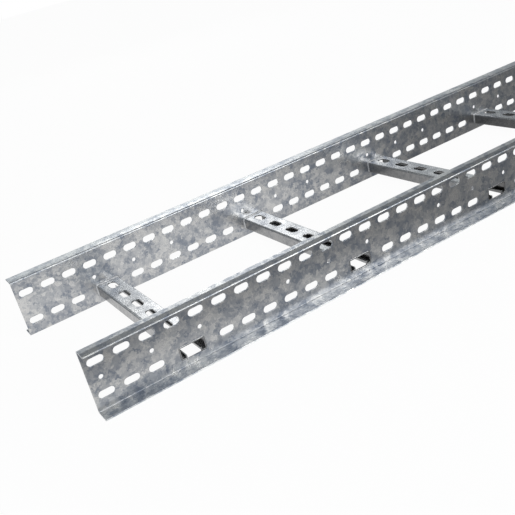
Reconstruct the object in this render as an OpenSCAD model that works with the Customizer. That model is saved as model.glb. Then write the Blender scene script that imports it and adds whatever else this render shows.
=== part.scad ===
// Cable ladder section: two perforated channel side rails joined by slotted strut rungs.
// X runs along the ladder, Y across it and Z up. The origin is the middle of the
// underside, so the section lies on its rails' bottom flanges.

/* [Section] */
// Length of the section
section_length = 3000; // [1200:300:6000]
// Clear width between the webs of the two rails
inner_width = 300; // [150:10:900]
// Distance from one rung to the next
rung_spacing = 300; // [240:10:400]

/* [Side rail] */
// Overall height of the rail
rail_height = 98; // [90:1:150]
// Overall width of the flange, web included
rail_flange = 25; // [16:1:40]
// Sheet thickness of the rail
rail_sheet = 2; // [1:0.25:3]
// Inside bend radius between web and flange
rail_bend = 1; // [0.5:0.25:4]

/* [Rail perforation] */
// Web slots from one rung to the next
slots_per_bay = 8; // [6:1:9]
// End-to-end length of a web slot
slot_length = 24; // [13:0.5:26]
// Width of a web slot
slot_width = 11.5; // [6:0.5:12.5]
// Centre line of an outer slot row, from the nearer rail edge
row_margin = 24; // [16:0.5:28]
// Least web left between a slot and a rung socket
socket_land = 8; // [3:0.5:14]
// Diameter of the small holes on the rail's middle line
pilot_diameter = 7; // [4:0.5:10]
// Small holes from one rung to the next
pilots_per_bay = 3; // [1:1:3]
// Slot pitches from one small hole to the next
pilot_step = 2; // [1:1:2]

/* [Rung] */
// Width of the strut
rung_width = 41; // [36:0.5:50]
// Height of the strut
rung_height = 21; // [18:0.5:26]
// Sheet thickness of the strut
rung_sheet = 2; // [1.25:0.25:2.5]
// Inside bend radius of the strut
rung_bend = 1; // [0.5:0.25:2]
// Width of the strut's turned-in lip
lip_return = 9.5; // [9:0.5:12]
// Height to which the lip turns up inside the strut
lip_turn = 6; // [5:0.25:9]
// Underside of the rung above the underside of the rails
rung_lift = 12.5; // [5:0.5:20]
// Gap all round between the rung and its socket in the web
socket_gap = 0.2; // [0.1:0.05:0.5]

/* [Rung slots] */
// Distance from one rung slot to the next
rung_slot_pitch = 50; // [40:1:80]
// End-to-end length of a rung slot
rung_slot_length = 28; // [16:1:34]
// Width of a rung slot
rung_slot_width = 14; // [8:0.5:18]
// Least distance from a rung slot to the web of a rail
rung_slot_land = 8; // [4:0.5:20]

/* [Hidden] */
$fn = 48;
eps = 1;
zinc_grey = [0.62, 0.64, 0.66];
strut_grey = [0.68, 0.70, 0.72];

bay_count = floor(section_length / rung_spacing);
slot_pitch = rung_spacing / slots_per_bay;
lower_row = row_margin;
upper_row = rail_height - row_margin;
middle_row = rail_height / 2;

web_inner = inner_width / 2;
web_outer = web_inner + rail_sheet;
rung_length = 2 * web_outer;
rung_mid = rung_lift + rung_height / 2;
rung_outer_bend = rung_bend + rung_sheet;
socket_size = [rung_width + 2 * socket_gap, rung_height + 2 * socket_gap];
slot_keep_out = (socket_size[0] + slot_length) / 2 + socket_land;

rung_slot_room = inner_width - rung_slot_length - 2 * rung_slot_land;
rung_slot_count = 1 + floor(rung_slot_room / rung_slot_pitch);

function rung_name(i) = str("rung_", i < 9 ? "0" : "", i + 1);
// Middle of bay i, where its rung stands
function bay_x(i) = (i - (bay_count - 1) / 2) * rung_spacing;
// Slot k of a bay, from the middle of that bay
function slot_x(k) = (k - (slots_per_bay - 1) / 2) * slot_pitch;

// Rectangle with its lower left corner at the origin and all corners rounded
module soft_block(size, radius) {
    translate([radius, 0]) square([size[0] - 2 * radius, size[1]]);
    translate([0, radius]) square([size[0], size[1] - 2 * radius]);
    for (x = [radius, size[0] - radius], y = [radius, size[1] - radius])
        translate([x, y]) circle(radius);
}

// Closed box section bent from sheet
module box_section(size, sheet, bend) {
    difference() {
        soft_block(size, bend + sheet);
        translate([sheet, sheet]) soft_block([size[0] - 2 * sheet, size[1] - 2 * sheet], bend);
    }
}

// Channel bent from sheet: half a box section, open towards +X
module channel_section(flange, height, sheet, bend) {
    intersection() {
        box_section([2 * flange, height], sheet, bend);
        square([flange, height]);
    }
}

// Angle bent from sheet: a quarter of a box section, its corner at the origin
module angle_section(legs, sheet, bend) {
    intersection() {
        box_section(2 * legs, sheet, bend);
        square(legs);
    }
}

// Slot with round ends, centred, its length along X
module round_slot(length, width) {
    straight = length - width;
    square([straight, width], center = true);
    for (side = [-1, 1])
        translate([side * straight / 2, 0]) circle(d = width);
}

// Openings punched in one bay of a web, seen square to the web
module bay_perforation() {
    for (k = [0 : slots_per_bay - 1]) {
        translate([slot_x(k), upper_row]) round_slot(slot_length, slot_width);
        if (abs(slot_x(k)) >= slot_keep_out)
            translate([slot_x(k), lower_row]) round_slot(slot_length, slot_width);
    }
    for (k = [0 : pilots_per_bay - 1])
        translate([slot_x(k * pilot_step), middle_row]) circle(d = pilot_diameter);
    translate([-socket_size[0] / 2, rung_mid - socket_size[1] / 2])
        soft_block(socket_size, rung_outer_bend + socket_gap);
}

// Rail on the -Y side, flanges outwards; the other rail is the same part turned round
module side_rail() {
    color(zinc_grey)
    difference() {
        translate([-section_length / 2, -web_inner, 0])
            rotate([90, 0, 90])
            linear_extrude(section_length)
            mirror([1, 0])
            channel_section(rail_flange, rail_height, rail_sheet, rail_bend);
        translate([0, -web_inner + eps, 0])
            rotate([90, 0, 0])
            linear_extrude(rail_sheet + 2 * eps)
            for (i = [0 : bay_count - 1])
                translate([bay_x(i), 0]) bay_perforation();
    }
}

module side_rail_left() {
    rotate([0, 0, 180]) side_rail();
}

module side_rail_right() {
    side_rail();
}

// Strut section, mouth downwards, centred over X = 0 and standing on Y = 0
module strut_section() {
    lip_flat = lip_return - rung_outer_bend;
    mouth = rung_width - 2 * lip_return;
    difference() {
        translate([-rung_width / 2, 0]) box_section([rung_width, rung_height], rung_sheet, rung_bend);
        translate([-mouth / 2 - lip_flat / 2, -eps]) square([mouth + lip_flat, rung_sheet + 2 * eps]);
    }
    for (side = [0, 1])
        mirror([side, 0])
        translate([mouth / 2, 0])
        angle_section([lip_flat, lip_turn], rung_sheet, rung_bend);
}

// Rung of bay i: a strut, its slotted back upwards, through the webs of both rails
module rung(i) {
    color(strut_grey)
    translate([bay_x(i), 0, rung_lift])
    difference() {
        translate([0, rung_length / 2, 0])
            rotate([90, 0, 0])
            linear_extrude(rung_length)
            strut_section();
        for (k = [0 : rung_slot_count - 1])
            translate([0, (k - (rung_slot_count - 1) / 2) * rung_slot_pitch, rung_height - rung_sheet - eps])
            linear_extrude(rung_sheet + 2 * eps)
            rotate(90)
            round_slot(rung_slot_length, rung_slot_width);
    }
}

side_rail_left();
side_rail_right();
for (i = [0 : bay_count - 1])
    rung(i);
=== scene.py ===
import math

import bpy
import numpy as np
from mathutils import Matrix, Vector


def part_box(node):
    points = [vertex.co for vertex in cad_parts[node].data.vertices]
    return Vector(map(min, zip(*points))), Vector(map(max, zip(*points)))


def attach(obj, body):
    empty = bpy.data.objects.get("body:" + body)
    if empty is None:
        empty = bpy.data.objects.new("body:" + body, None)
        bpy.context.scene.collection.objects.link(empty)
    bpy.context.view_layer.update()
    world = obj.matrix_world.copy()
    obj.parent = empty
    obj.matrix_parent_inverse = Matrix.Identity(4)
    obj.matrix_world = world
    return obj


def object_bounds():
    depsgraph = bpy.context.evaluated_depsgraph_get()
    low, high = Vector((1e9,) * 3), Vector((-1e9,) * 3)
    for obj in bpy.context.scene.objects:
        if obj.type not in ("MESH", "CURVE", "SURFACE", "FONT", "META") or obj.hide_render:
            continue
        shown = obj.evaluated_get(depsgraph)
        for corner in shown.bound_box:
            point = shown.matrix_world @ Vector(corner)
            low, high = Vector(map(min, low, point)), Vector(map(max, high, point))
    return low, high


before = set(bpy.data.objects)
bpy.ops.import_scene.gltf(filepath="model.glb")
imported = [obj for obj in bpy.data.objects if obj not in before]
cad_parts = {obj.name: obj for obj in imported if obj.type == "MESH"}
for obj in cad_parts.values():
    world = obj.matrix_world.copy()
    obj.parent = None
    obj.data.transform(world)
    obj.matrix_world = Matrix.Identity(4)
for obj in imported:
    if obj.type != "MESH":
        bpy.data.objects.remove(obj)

cad_low, cad_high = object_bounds()

# ------------------------------------------------------------- side rails
# The two rails are one part: a channel bent from steel sheet, punched along its web
# and dipped in zinc after punching. The zinc freezes in flat crystals about a
# centimetre across, some bright and some dull, under a thin blue-grey bloom.

RAIL_ZINC = (0.60, 0.60, 0.595)
RAIL_BLOOM = (0.255, 0.28, 0.325)
RAIL_CRYSTALS_PER_METRE = 85.0
RAIL_ROUGHNESS = 0.32

FINE_CRYSTALS_TO_ONE = 2.6
FROST_PER_METRE, FROST_REACH = 260.0, 0.012
CLOUDS_PER_METRE, CLOUD_SHAPE = 38.0, (1.0, 1.0, 0.7)
CRYSTAL_SHARE, FINE_SHARE, CLOUD_SHARE = 0.29, 0.27, 0.60
DULL_AT, BRIGHT_AT = 0.36, 0.77
DULL_ROUGHNESS, BRIGHT_GLOSS = 0.13, 0.22
EDGE_RADIUS, EDGE_SAMPLES = 0.0012, 6
SKIN_PER_METRE, SKIN_DEPTH, SKIN_STRENGTH = 420.0, 0.0004, 0.35

FOLD_LINE = cad_high[1] - 0.0125
RIM_LINE = cad_high[1] - 0.0005
WEB_MIDDLE = (cad_low[2] + cad_high[2]) / 2
FOLD_SLOPE, RIM_SLOPE = 0.16, 0.5


def math_node(tree, operation, *values):
    """Result of one sum, product or comparison of sockets and numbers."""
    node = tree.nodes.new("ShaderNodeMath")
    node.operation = operation
    for socket, value in zip(node.inputs, values):
        if isinstance(value, (int, float)):
            socket.default_value = value
        else:
            tree.links.new(value, socket)
    return node.outputs["Value"]


def noise_node(tree, place, scale, detail, shape=(1.0, 1.0, 1.0)):
    """Noise of so many features to the metre, drawn out where the shape is under 1."""
    spread = tree.nodes.new("ShaderNodeMapping")
    spread.inputs["Scale"].default_value = shape
    tree.links.new(place, spread.inputs["Vector"])
    noise = tree.nodes.new("ShaderNodeTexNoise")
    noise.inputs["Scale"].default_value = scale
    noise.inputs["Detail"].default_value = detail
    tree.links.new(spread.outputs["Vector"], noise.inputs["Vector"])
    return noise


def crystal_node(tree, place, scale):
    """Random tone of each crystal."""
    crystals = tree.nodes.new("ShaderNodeTexVoronoi")
    crystals.inputs["Scale"].default_value = scale
    tree.links.new(place, crystals.inputs["Vector"])
    parts = tree.nodes.new("ShaderNodeSeparateColor")
    tree.links.new(crystals.outputs["Color"], parts.inputs["Color"])
    return parts.outputs["Red"]


def zinc_pattern(tree, place, crystals_per_metre):
    """Sum of the tone of large crystals, of fine ones, and of clouds.

    Noise shifts the place where the crystals are looked up, which feathers their
    outlines. The clouds are drawn out along Z, as the zinc drains.
    """
    frost = noise_node(tree, place, FROST_PER_METRE, 3.0)
    feathered = tree.nodes.new("ShaderNodeVectorMath")
    feathered.operation = "MULTIPLY_ADD"
    tree.links.new(frost.outputs["Color"], feathered.inputs[0])
    feathered.inputs[1].default_value = (FROST_REACH, FROST_REACH, FROST_REACH)
    tree.links.new(place, feathered.inputs[2])
    shifted = feathered.outputs["Vector"]

    crystal = crystal_node(tree, shifted, crystals_per_metre)
    fine_crystal = crystal_node(tree, shifted, FINE_CRYSTALS_TO_ONE * crystals_per_metre)
    cloud = noise_node(tree, place, CLOUDS_PER_METRE, 8.0, CLOUD_SHAPE).outputs["Fac"]
    pattern = math_node(tree, "MULTIPLY", crystal, CRYSTAL_SHARE)
    pattern = math_node(tree, "MULTIPLY_ADD", fine_crystal, FINE_SHARE, pattern)
    return math_node(tree, "MULTIPLY_ADD", cloud, CLOUD_SHARE, pattern)


def zinc_coating(name, zinc, bloom, crystals_per_metre, roughness):
    """Material of a hot-dip zinc coat.

    One pattern mixes dull bloom and bright zinc and makes the bright spots glossier.
    Softened edges and a fine skin turn the shading.
    """
    material = bpy.data.materials.new(name)
    material.use_nodes = True
    tree = material.node_tree
    shader = tree.nodes["Principled BSDF"]
    shader.inputs["Metallic"].default_value = 1.0
    place = tree.nodes.new("ShaderNodeTexCoord").outputs["Object"]
    pattern = zinc_pattern(tree, place, crystals_per_metre)

    tone = tree.nodes.new("ShaderNodeValToRGB")
    tone.name = "tone"
    for stop, position, color in zip(tone.color_ramp.elements, (DULL_AT, BRIGHT_AT), (bloom, zinc)):
        stop.position = position
        stop.color = (*color, 1.0)
    tree.links.new(pattern, tone.inputs["Fac"])
    tree.links.new(tone.outputs["Color"], shader.inputs["Base Color"])
    matt = math_node(tree, "MULTIPLY_ADD", pattern, -BRIGHT_GLOSS, roughness + DULL_ROUGHNESS)
    tree.links.new(matt, shader.inputs["Roughness"])

    rounded = tree.nodes.new("ShaderNodeBevel")
    rounded.name = "rounded"
    rounded.samples = EDGE_SAMPLES
    rounded.inputs["Radius"].default_value = EDGE_RADIUS
    skin = tree.nodes.new("ShaderNodeBump")
    skin.name = "skin"
    skin.inputs["Strength"].default_value = SKIN_STRENGTH
    skin.inputs["Distance"].default_value = SKIN_DEPTH
    grain = noise_node(tree, place, SKIN_PER_METRE, 4.0)
    tree.links.new(grain.outputs["Fac"], skin.inputs["Height"])
    tree.links.new(rounded.outputs["Normal"], skin.inputs["Normal"])
    tree.links.new(skin.outputs["Normal"], shader.inputs["Normal"])
    return material


def roll_flanges(tree):
    """Shade the outer half of each flange as if tilted, and its cut rim as if rounded.

    Past the fold line the surface falls off by the fold slope, away from the web's
    middle. On the rim's cut face it leans back by the rim slope.
    """
    axes = tree.nodes.new("ShaderNodeSeparateXYZ")
    tree.links.new(tree.nodes.new("ShaderNodeTexCoord").outputs["Object"], axes.inputs["Vector"])
    height = axes.outputs["Z"]
    aside = math_node(tree, "ABSOLUTE", axes.outputs["Y"])
    past_fold = math_node(tree, "MAXIMUM", math_node(tree, "SUBTRACT", aside, FOLD_LINE), 0.0)
    outward = math_node(tree, "SIGN", math_node(tree, "SUBTRACT", height, WEB_MIDDLE))
    fold = math_node(tree, "MULTIPLY", math_node(tree, "MULTIPLY", past_fold, outward), -FOLD_SLOPE)
    at_rim = math_node(tree, "GREATER_THAN", aside, RIM_LINE)
    rim = math_node(tree, "MULTIPLY", height, at_rim)
    rolled = tree.nodes.new("ShaderNodeBump")
    rolled.inputs["Strength"].default_value = 1.0
    rolled.inputs["Distance"].default_value = 1.0
    tree.links.new(math_node(tree, "MULTIPLY_ADD", rim, -RIM_SLOPE, fold), rolled.inputs["Height"])
    tree.links.new(tree.nodes["rounded"].outputs["Normal"], rolled.inputs["Normal"])
    tree.links.new(rolled.outputs["Normal"], tree.nodes["skin"].inputs["Normal"])


rail_zinc = zinc_coating("rail_zinc", RAIL_ZINC, RAIL_BLOOM, RAIL_CRYSTALS_PER_METRE, RAIL_ROUGHNESS)
roll_flanges(rail_zinc.node_tree)
for name in ("side_rail_left", "side_rail_right"):
    rail_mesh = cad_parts[name].data
    rail_mesh.materials.clear()
    rail_mesh.materials.append(rail_zinc)

# ------------------------------------------------------------------ rungs
# Each rung is a length of slotted strut, rolled from zinc-coated strip with turned-in
# lips, cut square and set through the webs of both rails. The strip's coat has smaller
# crystals and shines more than the rails' own. Below its flat back it is darkened as painted shade.

STRUT_ZINC = (0.68, 0.68, 0.68)
STRUT_BLOOM = (0.47, 0.48, 0.50)
STRUT_CRYSTALS_PER_METRE = 150.0
STRUT_ROUGHNESS = 0.24
# Painted shade: below its flat back the strut keeps this share of its tone.
SIDE_SHADE_SHARE = 0.52
BACK_DEPTH = 0.0007

rungs = sorted(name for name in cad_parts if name.startswith("rung_"))
strut_low, strut_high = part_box(rungs[0])


def paint_strut_side_shade(tree):
    """Paint shade on the zinc below the strut's flat back: its tone scaled to a share."""
    axes = tree.nodes.new("ShaderNodeSeparateXYZ")
    tree.links.new(tree.nodes.new("ShaderNodeTexCoord").outputs["Object"], axes.inputs["Vector"])
    on_back = math_node(tree, "GREATER_THAN", axes.outputs["Z"], strut_high[2] - BACK_DEPTH)
    share = math_node(tree, "MULTIPLY_ADD", on_back, 1.0 - SIDE_SHADE_SHARE, SIDE_SHADE_SHARE)
    side_shaded = tree.nodes.new("ShaderNodeVectorMath")
    side_shaded.operation = "SCALE"
    tree.links.new(tree.nodes["tone"].outputs["Color"], side_shaded.inputs[0])
    tree.links.new(share, side_shaded.inputs["Scale"])
    tree.links.new(side_shaded.outputs["Vector"], tree.nodes["Principled BSDF"].inputs["Base Color"])


strut_zinc = zinc_coating("strut_zinc", STRUT_ZINC, STRUT_BLOOM, STRUT_CRYSTALS_PER_METRE,
                          STRUT_ROUGHNESS)
# Paint shade on the strut's sides and underside.
paint_strut_side_shade(strut_zinc.node_tree)
for name in rungs:
    rung_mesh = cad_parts[name].data
    rung_mesh.materials.clear()
    rung_mesh.materials.append(strut_zinc)

# ------------------------------------------------------------ rung welds
# A thin bead of weld holds each end of a rung to the inner face of the rail's web. It
# runs round the strut from one side of the mouth to the other, rippled by the torch,
# and the zinc dulls it.

WELD_ZINC = (0.60, 0.60, 0.60)
WELD_BLOOM = (0.34, 0.35, 0.37)
WELD_CRYSTALS_PER_METRE = 400.0
WELD_ROUGHNESS = 0.42
STRUT_WIDTH, STRUT_HEIGHT = strut_high[0] - strut_low[0], strut_high[2] - strut_low[2]
STRUT_CORNER = 0.003
MOUTH_WIDTH = 0.022
RAIL_SHEET = 0.002
BEAD_LEG, BEAD_BULGE, BEAD_FADE = 0.0022, 1.3, 0.002
RIPPLE_STEP, RIPPLE_DEPTH = 0.0021, 0.10
BURIED = 0.0002
PATH_STEPS, BEAD_STEPS = 240, 6


def strut_outline(steps):
    """Points and outward directions round a strut section, evenly spaced.

    The outline starts at one side of the mouth, in the middle of the underside, and
    goes round the rounded rectangle to the other: straight runs joined by quarter
    circles, each taken at its share of the whole length.
    """
    half_w, half_h = STRUT_WIDTH / 2 - STRUT_CORNER, STRUT_HEIGHT / 2 - STRUT_CORNER
    arc = math.pi / 2 * STRUT_CORNER
    lip = half_w - MOUTH_WIDTH / 2
    runs = [lip, arc, 2 * half_h, arc, 2 * half_w, arc, 2 * half_h, arc, lip]
    ends = np.cumsum([0.0] + runs)
    along = np.linspace(0.0, ends[-1], steps)
    arc_starts = ends[1:8:2]
    turned = np.clip((along[:, None] - arc_starts) / arc, 0.0, 1.0).sum(axis=1) * math.pi / 2
    outward = np.stack([np.sin(turned), -np.cos(turned)], axis=1)
    forward = np.stack([np.cos(turned), np.sin(turned)], axis=1)
    hop = np.diff(along)[:, None] * (forward[1:] + forward[:-1]) / 2
    start = np.array([[MOUTH_WIDTH / 2, -STRUT_HEIGHT / 2]])
    return np.vstack([start, start + np.cumsum(hop, axis=0)]), outward, along


def bead_grid():
    """Bead at one joint: distances along X, away from the web, and up.

    The profile is a bulged quarter circle between a leg on the strut and a leg on the
    web. Carried round the outline, its size rises and falls with the ripples and
    fades to nothing at both ends.
    """
    path, outward, along = strut_outline(PATH_STEPS)
    fade = np.clip(np.minimum(along, along[-1] - along) / BEAD_FADE, 0.05, 1.0)
    leg = BEAD_LEG * fade * (1.0 + RIPPLE_DEPTH * np.sin(2 * math.pi * along / RIPPLE_STEP))
    angle = np.linspace(0.0, math.pi / 2, BEAD_STEPS)
    up_strut = leg[:, None] * np.cos(angle) ** BEAD_BULGE - BURIED
    off_strut = leg[:, None] * np.sin(angle) ** BEAD_BULGE - BURIED
    across = path[:, None, :] + outward[:, None, :] * off_strut[:, :, None]
    return across[:, :, 0], up_strut, across[:, :, 1]


def weld_beads(rungs):
    """One mesh of all the beads: the same grid set at both ends of every rung."""
    out_x, out_y, out_z = bead_grid()
    corner = np.arange(PATH_STEPS * BEAD_STEPS).reshape(PATH_STEPS, BEAD_STEPS)
    quads = np.stack([corner[:-1, :-1], corner[1:, :-1], corner[1:, 1:], corner[:-1, 1:]], axis=-1)
    quads = quads.reshape(-1, 4)
    points, faces = [], []
    for name in rungs:
        low, high = (np.array(end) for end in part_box(name))
        middle = (low + high) / 2
        web_face = high[1] - RAIL_SHEET
        for side in (-1.0, 1.0):
            faces.append((quads if side < 0 else quads[:, ::-1]) + len(points) * corner.size)
            bead = [middle[0] + out_x, side * (web_face - out_y), middle[2] + out_z]
            points.append(np.stack(bead, axis=-1).reshape(-1, 3))
    mesh = bpy.data.meshes.new("rung_welds")
    mesh.from_pydata(np.vstack(points).tolist(), [], np.vstack(faces).tolist())
    mesh.polygons.foreach_set("use_smooth", np.ones(len(mesh.polygons), bool))
    return mesh


weld_mesh = weld_beads(rungs)
weld_mesh.materials.append(zinc_coating("weld_zinc", WELD_ZINC, WELD_BLOOM, WELD_CRYSTALS_PER_METRE,
                                        WELD_ROUGHNESS))
welds = bpy.data.objects.new("rung_welds", weld_mesh)
bpy.context.scene.collection.objects.link(welds)
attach(welds, "root")

# ------------------------------------------------------------------ floor
# A wide sheet of white paper under the section. The eye sees it white to its edge with
# a faint shadow. In the zinc the paper glows with a painted pool of light under and round
# the near end, and with painted darker grey beyond it.

FLOOR_HALF = 8.0
PAPER_WHITE = (0.80, 0.80, 0.80)
PAPER_ROUGHNESS = 0.9
CLEAR_SHARE = 0.96
# Painted pool of light that only reflections see: its middle, reach and tones.
LIGHT_POOL_MIDDLE = (-1.48, 0.0, 0.0)
LIGHT_POOL_REACH = (1.25, 0.42, 1.0)
LIGHT_POOL_TONES = ((0.0, 0.26), (0.26, 0.28), (0.56, 0.94), (1.0, 1.05))


def tone_curve(tree, socket, tones):
    """Grey ramp through pairs of position and tone."""
    ramp = tree.nodes.new("ShaderNodeValToRGB")
    stops = ramp.color_ramp.elements
    while len(stops) < len(tones):
        stops.new(1.0)
    for stop, (position, tone) in zip(stops, tones):
        stop.position = position
        stop.color = (tone, tone, tone, 1.0)
    tree.links.new(socket, ramp.inputs["Fac"])
    return ramp.outputs["Color"]


def painted_light_pool(tree):
    """Tone of the painted pool of light: an ellipse, brightest in its middle."""
    light_pool_place = tree.nodes.new("ShaderNodeMapping")
    light_pool_place.vector_type = "TEXTURE"
    light_pool_place.inputs["Location"].default_value = LIGHT_POOL_MIDDLE
    light_pool_place.inputs["Scale"].default_value = LIGHT_POOL_REACH
    place = tree.nodes.new("ShaderNodeTexCoord").outputs["Object"]
    tree.links.new(place, light_pool_place.inputs["Vector"])
    light_pool = tree.nodes.new("ShaderNodeTexGradient")
    light_pool.gradient_type = "SPHERICAL"
    tree.links.new(light_pool_place.outputs["Vector"], light_pool.inputs["Vector"])
    return tone_curve(tree, light_pool.outputs["Fac"], LIGHT_POOL_TONES)


def white_paper():
    """Paper that is white to the eye, glows with a painted pool of light in reflections, and is
    plain to all else.
    """
    material = bpy.data.materials.new("paper")
    material.use_nodes = True
    tree = material.node_tree
    shader = tree.nodes["Principled BSDF"]
    shader.inputs["Base Color"].default_value = (*PAPER_WHITE, 1.0)
    shader.inputs["Roughness"].default_value = PAPER_ROUGHNESS
    seen = tree.nodes.new("ShaderNodeLightPath")
    by_eye, in_zinc = seen.outputs["Is Camera Ray"], seen.outputs["Is Glossy Ray"]
    glow = tree.nodes.new("ShaderNodeEmission")
    glow.inputs["Color"].default_value = (1.0, 1.0, 1.0, 1.0)
    # Reflections see the painted pool of light as glow; the eye sees plain white.
    glow_tone = math_node(tree, "MULTIPLY_ADD", painted_light_pool(tree), in_zinc, by_eye)
    tree.links.new(glow_tone, glow.inputs["Strength"])
    blend = tree.nodes.new("ShaderNodeMixShader")
    tree.links.new(math_node(tree, "MULTIPLY_ADD", by_eye, CLEAR_SHARE, in_zinc), blend.inputs[0])
    tree.links.new(shader.outputs["BSDF"], blend.inputs[1])
    tree.links.new(glow.outputs["Emission"], blend.inputs[2])
    tree.links.new(blend.outputs["Shader"], tree.nodes["Material Output"].inputs["Surface"])
    return material


floor_mesh = bpy.data.meshes.new("floor")
corners = FLOOR_HALF * np.array([(-1, -1, 0), (1, -1, 0), (1, 1, 0), (-1, 1, 0)], float)
floor_mesh.from_pydata(corners.tolist(), [], [(0, 1, 2, 3)])
floor_mesh.materials.append(white_paper())
floor = bpy.data.objects.new("floor", floor_mesh)
bpy.context.scene.collection.objects.link(floor)

# ------------------------------------------------------------------ light
# A studio with a pale sweep low all round and a darker ceiling, dimmer beyond the far
# end, and three broad soft lamps: behind the ladder, in front of it and above it.

SWEEP_TONES = ((0.0, 1.30), (0.39, 1.30), (0.46, 0.25), (1.0, 0.35))
FAR_END_TONES = ((0.0, 1.0), (0.50, 1.0), (0.76, 0.40), (1.0, 0.25))
ROOM_TINT = (0.93, 0.98, 1.0)
NEAR_PART, NEAR_GROUND = (-1.05, 0.0, 0.05), (-1.0, 0.0, 0.0)


def tinted(tree, first, second):
    """Product of two colours, each a socket or a fixed colour."""
    node = tree.nodes.new("ShaderNodeMix")
    node.data_type = "RGBA"
    node.blend_type = "MULTIPLY"
    node.inputs["Factor"].default_value = 1.0
    for key, value in (("A", first), ("B", second)):
        if isinstance(value, tuple):
            node.inputs[key].default_value = (*value, 1.0)
        else:
            tree.links.new(value, node.inputs[key])
    return node.outputs["Result"]


def soft_lamp(name, azimuth, elevation, distance, size, power, aim):
    """Square lamp at a bearing from +X and a height angle, turned to face its aim."""
    lamp = bpy.data.lights.new(name, "AREA")
    lamp.shape = "SQUARE"
    lamp.size = size
    lamp.energy = power
    holder = bpy.data.objects.new(name, lamp)
    bpy.context.scene.collection.objects.link(holder)
    around, up = math.radians(azimuth), math.radians(elevation)
    away = Vector((math.cos(up) * math.cos(around), math.cos(up) * math.sin(around), math.sin(up)))
    turn = away.to_track_quat("Z", "Y").to_matrix().to_4x4()
    holder.matrix_world = Matrix.Translation(Vector(aim) + distance * away) @ turn
    holder.visible_camera = False


world = bpy.data.worlds.new("studio")
bpy.context.scene.world = world
world.use_nodes = True
tree = world.node_tree
direction = tree.nodes.new("ShaderNodeSeparateXYZ")
tree.links.new(tree.nodes.new("ShaderNodeTexCoord").outputs["Generated"], direction.inputs["Vector"])
sweep = tone_curve(tree, direction.outputs["Z"], SWEEP_TONES)
far_end = tone_curve(tree, direction.outputs["X"], FAR_END_TONES)
room = tree.nodes["Background"]
room.inputs["Strength"].default_value = 1.0
tree.links.new(tinted(tree, tinted(tree, sweep, far_end), ROOM_TINT), room.inputs["Color"])
backdrop = tree.nodes.new("ShaderNodeBackground")
backdrop.inputs["Color"].default_value = (1.0, 1.0, 1.0, 1.0)
backdrop.inputs["Strength"].default_value = 1.0
blend = tree.nodes.new("ShaderNodeMixShader")
tree.links.new(tree.nodes.new("ShaderNodeLightPath").outputs["Is Camera Ray"], blend.inputs[0])
tree.links.new(room.outputs["Background"], blend.inputs[1])
tree.links.new(backdrop.outputs["Background"], blend.inputs[2])
tree.links.new(blend.outputs["Shader"], tree.nodes["World Output"].inputs["Surface"])

soft_lamp("back_lamp", 69.0, 21.0, 3.0, 1.1, 6.5, NEAR_PART)
soft_lamp("front_lamp", -60.0, 27.0, 3.0, 1.6, 24.0, NEAR_PART)
soft_lamp("top_lamp", -110.0, 62.0, 2.6, 1.6, 20.0, NEAR_GROUND)

# ----------------------------------------------------------------- camera
# The camera stands beyond the near end of the section, to the right of it, and looks
# down along it.

CAMERA_PLACE = (-1.65858, -0.97726, 0.53388)
CAMERA_RIGHT = (0.8262, -0.5185, -0.2205)
CAMERA_UP = (0.4122, 0.2893, 0.8639)
CAMERA_BACK = (-0.3841, -0.8047, 0.4527)
SENSOR_WIDTH, FOCAL_LENGTH = 36.0, 51.868
LENS_SHIFT = (0.03953, 0.06922)

camera = bpy.data.objects.new("camera", bpy.data.cameras.new("camera"))
bpy.context.scene.collection.objects.link(camera)
bpy.context.scene.camera = camera
camera_turn = Matrix((CAMERA_RIGHT, CAMERA_UP, CAMERA_BACK)).transposed()
camera.matrix_world = Matrix.Translation(CAMERA_PLACE) @ camera_turn.to_4x4()
camera.data.sensor_width = SENSOR_WIDTH
camera.data.lens = FOCAL_LENGTH
camera.data.shift_x, camera.data.shift_y = LENS_SHIFT

bpy.context.scene.view_settings.view_transform = "Standard"
